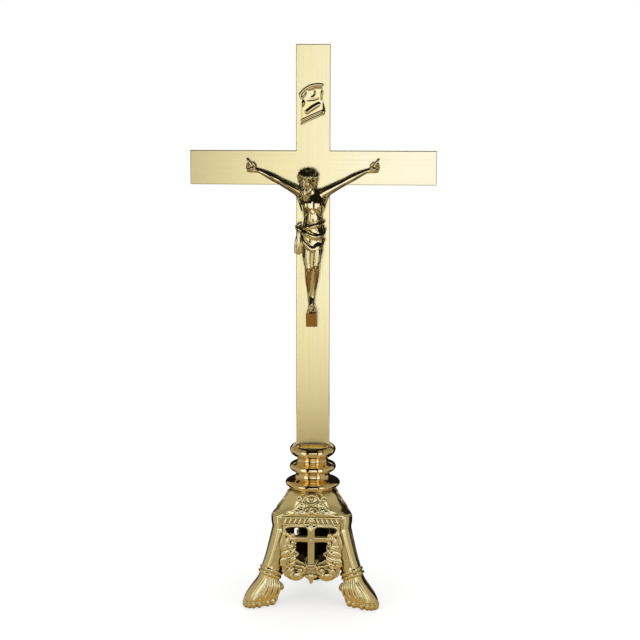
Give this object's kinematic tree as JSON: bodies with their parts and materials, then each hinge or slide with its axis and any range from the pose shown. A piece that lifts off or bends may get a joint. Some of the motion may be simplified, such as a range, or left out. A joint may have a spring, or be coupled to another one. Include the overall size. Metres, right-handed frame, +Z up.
{
  "type": "altar crucifix",
  "caption": "Free-standing brass altar crucifix: a plain flat cross with a cast figure, a turned ringed collar and an ornate cast tripod base on paw feet.",
  "frame": {"origin": "on the standing plane, on the upright's axis, which is the middle of the tripod", "axes": "+Z up along the upright, front towards -Y, +X to the right of someone facing the front"},
  "size_m": [0.264, 0.1351, 0.61],
  "materials": {
    "brass_satin": "satin polished, pale",
    "brass_polished": "mirror polished",
    "brass_pins": "plain drawn",
    "brass_cast": "cast, relieved and polished on the high places",
    "steel": "plain zinc plated"
  },
  "bodies": {
    "base": {"base_crown": "brass_cast", "leg_front_left": "brass_cast", "leg_front_right": "brass_cast", "leg_rear": "brass_cast", "panel_front": "brass_cast", "panel_rear_left": "brass_cast", "panel_rear_right": "brass_cast", "panel_screws": "steel", "leg_screws": "steel"},
    "cross": {"cross_upright": "brass_satin", "crossbar": "brass_satin", "lap_screws": "steel", "titulus_scroll": "brass_polished", "titulus_studs": "brass_pins", "corpus": "brass_polished", "corpus_nails": "brass_pins", "footrest": "brass_polished", "footrest_screw": "steel", "collar_top_ring": "brass_polished", "collar_middle_ring": "brass_polished", "collar_bottom_ring": "brass_polished", "tie_rod": "steel", "clamp_washer": "steel", "lock_washer": "steel", "clamp_nut": "steel"}
  },
  "joints": [
    {"name": "cross_swivel", "type": "hinge", "parent": "base", "child": "cross", "pos_m": [0, 0, 0.121], "axis": [0, 0, 1], "continuous": true}
  ]
}
